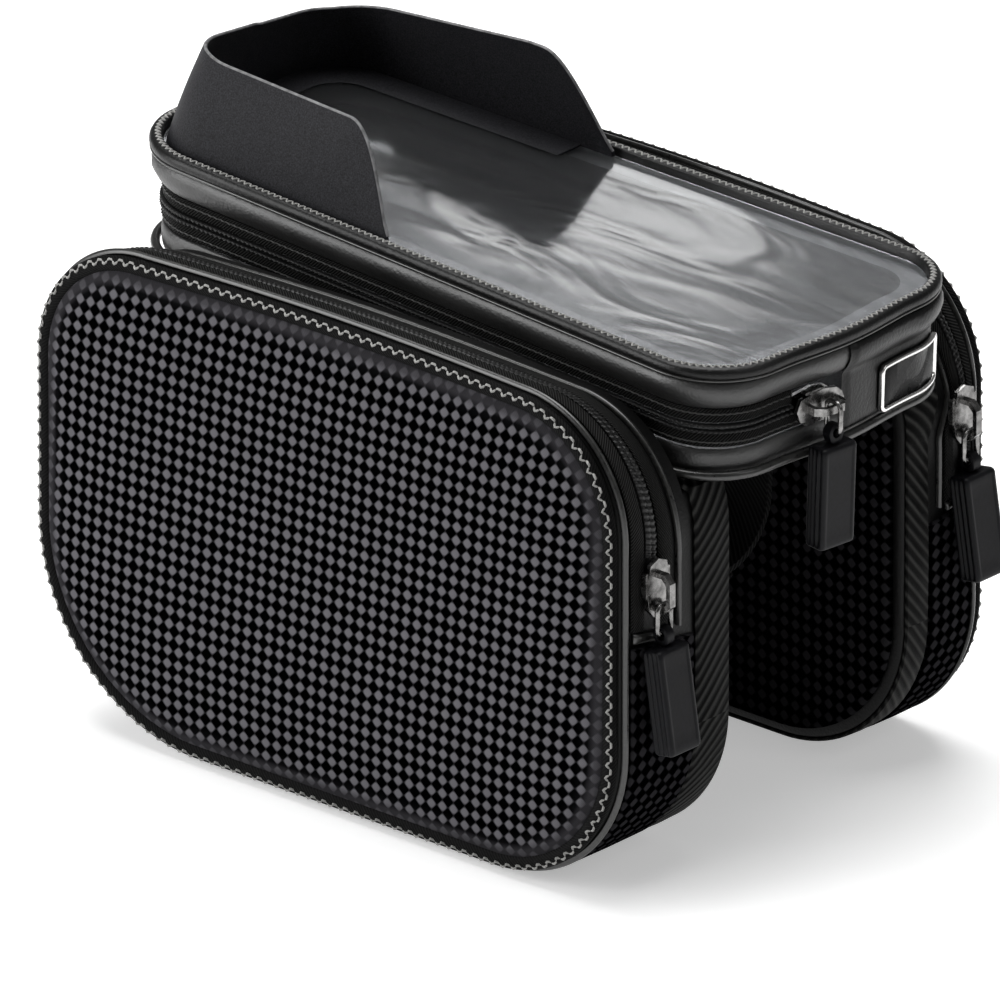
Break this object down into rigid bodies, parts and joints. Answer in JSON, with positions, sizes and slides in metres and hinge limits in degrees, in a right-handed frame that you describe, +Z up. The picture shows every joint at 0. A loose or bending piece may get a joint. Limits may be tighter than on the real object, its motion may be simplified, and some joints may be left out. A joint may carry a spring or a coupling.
{
  "type": "bicycle frame bag",
  "caption": "Black bicycle frame bag: a zipped phone tray with a clear window lid and sun hood over a zipped pouch on each side of the top tube.",
  "frame": {"origin": "centre of the whole bag's bounding box, on the floor under the pouches", "axes": "+X towards the rider, where the zipper pulls and the badge are; +Y towards the far pouch; +Z up"},
  "size_m": [0.2053, 0.1382, 0.1612],
  "materials": {
    "leather": "satin, fine grain",
    "dot_weave": "woven carbon-look with grey dots",
    "webbing": "ribbed nylon",
    "binding": "smooth bound edge with thread",
    "zipper_tape": "fine woven tape",
    "zipper_coil": "nylon coil",
    "gunmetal": "dark plated, bright edges",
    "silver": "bright rim",
    "rubber": "moulded, satin",
    "badge_plate": "glossy black",
    "hood": "matte coated sheet",
    "clear_window": "clear glossy film",
    "foam": "soft lining foam"
  },
  "bodies": {
    "bag": {"tray_shell": "leather", "hinge_panel": "leather", "near_pouch_body": "leather", "far_pouch_body": "leather", "tray_floor_pad": "foam", "tray_bottom_piping": "binding", "tray_zipper_tape": "zipper_tape", "tray_zipper_coil": "zipper_coil", "badge_frame": "silver", "badge_plate": "badge_plate", "saddle_pad": "webbing", "front_strap": "webbing", "front_strap_tab": "webbing", "rear_strap": "webbing", "rear_strap_tab": "webbing", "near_pouch_front_panel": "dot_weave", "near_pouch_lower_gusset": "dot_weave", "near_pouch_back_panel": "dot_weave", "near_pouch_panel_binding": "binding", "near_pouch_outer_piping": "binding", "near_pouch_inner_piping": "binding", "near_pouch_zipper_stop_rear": "binding", "near_pouch_zipper_stop_front": "binding", "near_pouch_zipper_tape_outer": "zipper_tape", "near_pouch_zipper_tape_inner": "zipper_tape", "near_pouch_zipper_coil": "zipper_coil", "near_pouch_inner_binding": "webbing", "far_pouch_front_panel": "dot_weave", "far_pouch_lower_gusset": "dot_weave", "far_pouch_back_panel": "dot_weave", "far_pouch_panel_binding": "binding", "far_pouch_outer_piping": "binding", "far_pouch_inner_piping": "binding", "far_pouch_zipper_stop_rear": "binding", "far_pouch_zipper_stop_front": "binding", "far_pouch_zipper_tape_outer": "zipper_tape", "far_pouch_zipper_tape_inner": "zipper_tape", "far_pouch_zipper_coil": "zipper_coil", "far_pouch_inner_binding": "webbing"},
    "lid": {"lid_shoulder": "leather", "lid_binding": "binding", "lid_window": "clear_window", "hood": "hood", "lid_zipper_tape": "zipper_tape", "lid_zipper_coil": "zipper_coil"},
    "top_slider": {"top_slider": "gunmetal"},
    "top_link": {"top_pull_link": "gunmetal"},
    "top_puller": {"top_puller": "rubber"},
    "near_slider": {"near_pouch_slider": "gunmetal"},
    "near_link": {"near_pouch_pull_link": "gunmetal"},
    "near_puller": {"near_pouch_puller": "rubber"},
    "far_slider": {"far_pouch_slider": "gunmetal"},
    "far_link": {"far_pouch_pull_link": "gunmetal"},
    "far_puller": {"far_pouch_puller": "rubber"}
  },
  "joints": [
    {"name": "lid_hinge", "type": "hinge", "parent": "bag", "child": "lid", "pos_m": [0.09711, 0.0065, 0.11751], "axis": [0, 1, 0], "range_deg": [0, 95]},
    {"name": "top_slider_slide", "type": "slide", "parent": "bag", "child": "top_slider", "axis": [-0.1028, -0.9947, 0.0036], "range_m": [0, 0.009]},
    {"name": "top_link_swing", "type": "hinge", "parent": "top_slider", "child": "top_link", "pos_m": [0.09945, -0.00302, 0.11283], "axis": [-0.1028, -0.9947, 0.0036], "range_deg": [0, 75]},
    {"name": "top_puller_swing", "type": "hinge", "parent": "top_link", "child": "top_puller", "pos_m": [0.09924, -0.00302, 0.10708], "axis": [0.9941, -0.1029, -0.0347], "range_deg": [-35, 35]},
    {"name": "near_slider_slide", "type": "slide", "parent": "bag", "child": "near_slider", "axis": [0, 0, 1], "range_m": [0, 0.009]},
    {"name": "near_link_swing", "type": "hinge", "parent": "near_slider", "child": "near_link", "pos_m": [0.09059, -0.0537, 0.07665], "axis": [0, -1, 0], "range_deg": [0, 80]},
    {"name": "near_puller_swing", "type": "hinge", "parent": "near_link", "child": "near_puller", "pos_m": [0.09059, -0.0537, 0.06895], "axis": [0, -1, 0], "range_deg": [-8, 75]},
    {"name": "far_slider_slide", "type": "slide", "parent": "bag", "child": "far_slider", "axis": [0, 0, -1], "range_m": [0, 0.009]},
    {"name": "far_link_swing", "type": "hinge", "parent": "far_slider", "child": "far_link", "pos_m": [0.09059, 0.05671, 0.08565], "axis": [0, -1, 0], "range_deg": [0, 80]},
    {"name": "far_puller_swing", "type": "hinge", "parent": "far_link", "child": "far_puller", "pos_m": [0.09059, 0.05671, 0.07795], "axis": [0, -1, 0], "range_deg": [-8, 75]}
  ]
}
